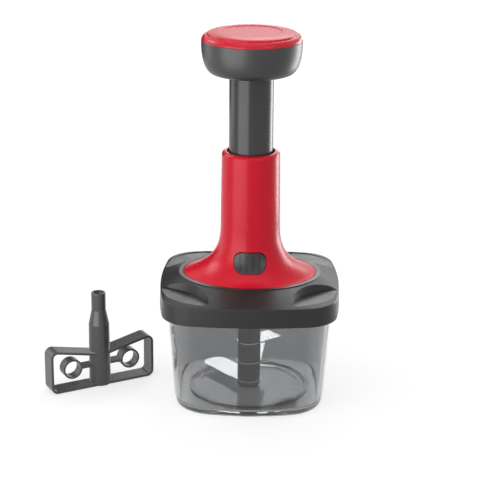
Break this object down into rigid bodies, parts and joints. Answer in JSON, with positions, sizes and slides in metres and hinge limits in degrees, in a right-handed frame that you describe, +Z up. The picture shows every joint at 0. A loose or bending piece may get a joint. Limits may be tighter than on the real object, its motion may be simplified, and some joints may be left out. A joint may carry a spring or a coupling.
{
  "type": "plunger food chopper",
  "caption": "Hand-press food chopper: a knob pushed down a tall red column spins stacked blades in a clear square bowl with a push-fit lid; a paddle whisk stands beside it.",
  "frame": {"origin": "centre of the bowl's underside, on the surface that it stands on", "axes": "+Z up along the plunger, -Y the front with the lock button, +X to the right"},
  "size_m": [0.2149, 0.1298, 0.2671],
  "materials": {
    "red_plastic": "glossy red ABS",
    "dark_plastic": "satin charcoal ABS with a fine moulded grain",
    "tube_plastic": "smooth charcoal nylon",
    "bowl_plastic": "clear smoke-grey moulded plastic",
    "seal_rubber": "soft grey silicone",
    "foot_rubber": "translucent non-slip silicone",
    "blade_steel": "polished stainless steel",
    "drive_steel": "bright steel",
    "white_nylon": "natural acetal",
    "whisk_plastic": "charcoal moulded plastic"
  },
  "bodies": {
    "bowl": {"bowl": "bowl_plastic", "bowl_pin": "drive_steel", "foot_ring": "foot_rubber"},
    "blades": {"blade_shaft": "dark_plastic", "spacer_bottom": "dark_plastic", "spacer_middle": "dark_plastic", "spacer_top": "dark_plastic", "blade_bottom": "blade_steel", "blade_middle": "blade_steel", "blade_top": "blade_steel"},
    "lid": {"lid": "dark_plastic", "lid_plate": "dark_plastic", "lid_seal": "seal_rubber", "column": "red_plastic", "guide_bush": "tube_plastic", "bearing_plate": "white_nylon", "column_screw_1": "drive_steel", "column_screw_2": "drive_steel", "column_screw_3": "drive_steel", "column_screw_4": "drive_steel", "return_spring": "drive_steel"},
    "drive": {"drive_hub": "white_nylon", "drive_strip": "drive_steel", "thrust_washer": "drive_steel", "retaining_clip": "drive_steel"},
    "plunger": {"plunger_tube": "tube_plastic", "plunger_collar": "white_nylon", "drive_nut": "white_nylon", "nut_screw_1": "drive_steel", "nut_screw_2": "drive_steel", "knob_body": "dark_plastic", "knob_cap": "red_plastic", "knob_screw": "drive_steel"},
    "lock_button": {"lock_button": "dark_plastic"},
    "whisk": {"whisk_shaft": "whisk_plastic", "whisk_wing_left": "whisk_plastic", "whisk_wing_right": "whisk_plastic", "whisk_ring_left": "whisk_plastic", "whisk_ring_right": "whisk_plastic"}
  },
  "joints": [
    {"name": "lid_lift", "type": "slide", "parent": "bowl", "child": "lid", "axis": [0, 0, 1], "range_m": [0, 0.15]},
    {"name": "plunger_push", "type": "slide", "parent": "lid", "child": "plunger", "axis": [0, 0, -1], "range_m": [0, 0.05], "stiffness_N_per_m": 200, "springref_m": -0.02, "deforming": ["return_spring"]},
    {"name": "drive_spin", "type": "hinge", "parent": "lid", "child": "drive", "pos_m": [0, 0, 0.092], "axis": [0, 0, 1], "range_deg": [0, 720]},
    {"name": "blade_spin", "type": "hinge", "parent": "bowl", "child": "blades", "pos_m": [0, 0, 0.0046], "axis": [0, 0, 1], "range_deg": [0, 720]},
    {"name": "lock_press", "type": "slide", "parent": "lid", "child": "lock_button", "axis": [0, 1, 0], "range_m": [0, 0.0026], "stiffness_N_per_m": 300, "springref_m": -0.002},
    {"name": "whisk_lift", "type": "slide", "parent": "bowl", "child": "whisk", "axis": [0, 0, 1], "range_m": [0, 0.12]}
  ],
  "couplings": [
    {"joint": "drive_spin", "follows": "plunger_push", "rad_per_m": 251.33},
    {"joint": "blade_spin", "follows": "plunger_push", "rad_per_m": 251.33}
  ]
}
